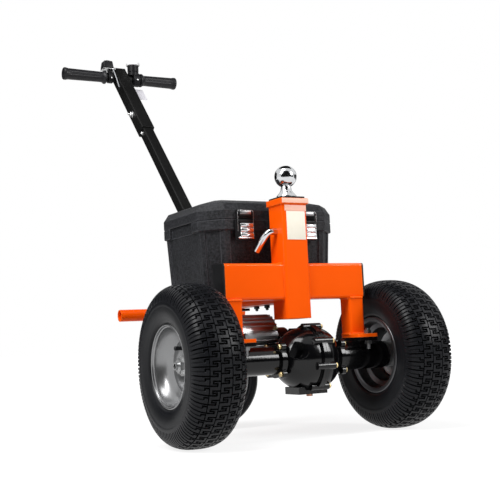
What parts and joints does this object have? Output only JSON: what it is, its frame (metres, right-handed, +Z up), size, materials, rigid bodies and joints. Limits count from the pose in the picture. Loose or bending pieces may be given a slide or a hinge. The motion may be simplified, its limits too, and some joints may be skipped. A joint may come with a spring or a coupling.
{
  "type": "electric trailer dolly",
  "caption": "Walk-behind electric trailer dolly: driven wheels on a transaxle, hitch ball on a post, battery box, swivel caster and telescopic tiller.",
  "frame": {"origin": "on the floor under the middle of the overall box", "axes": "+Z up, -Y towards the hitch ball, +Y towards the tiller, +X along the axle to the right seen from the hitch side"},
  "size_m": [0.638, 1.2085, 1.1343],
  "materials": {
    "frame_orange": "gloss",
    "black_paint": "gloss",
    "box_plastic": "textured",
    "control_plastic": "satin",
    "tyre_rubber": "matte",
    "rim_silver": "satin",
    "chrome": "polished",
    "zinc": "satin",
    "motor_alloy": "satin",
    "grip_rubber": "matte",
    "drain_brass": "satin"
  },
  "bodies": {
    "chassis": {"cross_beam": "frame_orange", "receiver_post": "frame_orange", "post_collar": "frame_orange", "beam_legs": "frame_orange", "foot_plates": "frame_orange", "spine_tube": "frame_orange", "platform": "frame_orange", "rear_crossbar": "frame_orange", "handle_bracket": "frame_orange", "axle_tube_left": "black_paint", "axle_tube_right": "black_paint", "diff_case_left": "black_paint", "diff_case_right": "black_paint", "motor_gear_case": "black_paint", "axle_saddles": "black_paint", "handle_lower_tube": "black_paint", "handle_upper_tube": "black_paint", "ball_mount": "black_paint", "handlebar": "black_paint", "caster_mount": "black_paint", "battery_box": "box_plastic", "hinge_brackets": "box_plastic", "beam_end_caps": "control_plastic", "switch_box": "control_plastic", "switch_lead": "control_plastic", "throttle_pod": "control_plastic", "batteries": "control_plastic", "hitch_ball": "chrome", "hitch_pin": "chrome", "latch_levers": "chrome", "foot_bolts": "zinc", "handle_bolts": "zinc", "throttle_cap": "zinc", "motor_body": "motor_alloy", "grips": "grip_rubber", "drain_plug": "drain_brass"},
    "wheel_left": {"wheel_left_tyre": "tyre_rubber", "wheel_left_rim": "rim_silver", "wheel_left_hub": "rim_silver"},
    "wheel_right": {"wheel_right_tyre": "tyre_rubber", "wheel_right_rim": "rim_silver", "wheel_right_hub": "rim_silver"},
    "lid": {"box_lid": "box_plastic", "lid_catches": "box_plastic"},
    "caster_fork": {"caster_fork": "black_paint", "caster_axle": "zinc"},
    "caster_wheel": {"caster_rim": "rim_silver", "caster_tyre": "tyre_rubber"}
  },
  "joints": [
    {"name": "wheel_left_spin", "type": "hinge", "parent": "chassis", "child": "wheel_left", "pos_m": [-0.26, -0.43176, 0.1725], "axis": [1, 0, 0], "continuous": true},
    {"name": "wheel_right_spin", "type": "hinge", "parent": "chassis", "child": "wheel_right", "pos_m": [0.26, -0.43176, 0.1725], "axis": [1, 0, 0], "continuous": true},
    {"name": "lid_hinge", "type": "hinge", "parent": "chassis", "child": "lid", "pos_m": [0, -0.08676, 0.49265], "axis": [-1, 0, 0], "range_deg": [0, 105]},
    {"name": "caster_swivel", "type": "hinge", "parent": "chassis", "child": "caster_fork", "pos_m": [0, -0.09176, 0.262], "axis": [0, 0, 1], "continuous": true},
    {"name": "caster_wheel_spin", "type": "hinge", "parent": "caster_fork", "child": "caster_wheel", "pos_m": [-0.04532, -0.07063, 0.127], "axis": [0.4226, 0.9063, 0], "continuous": true}
  ]
}
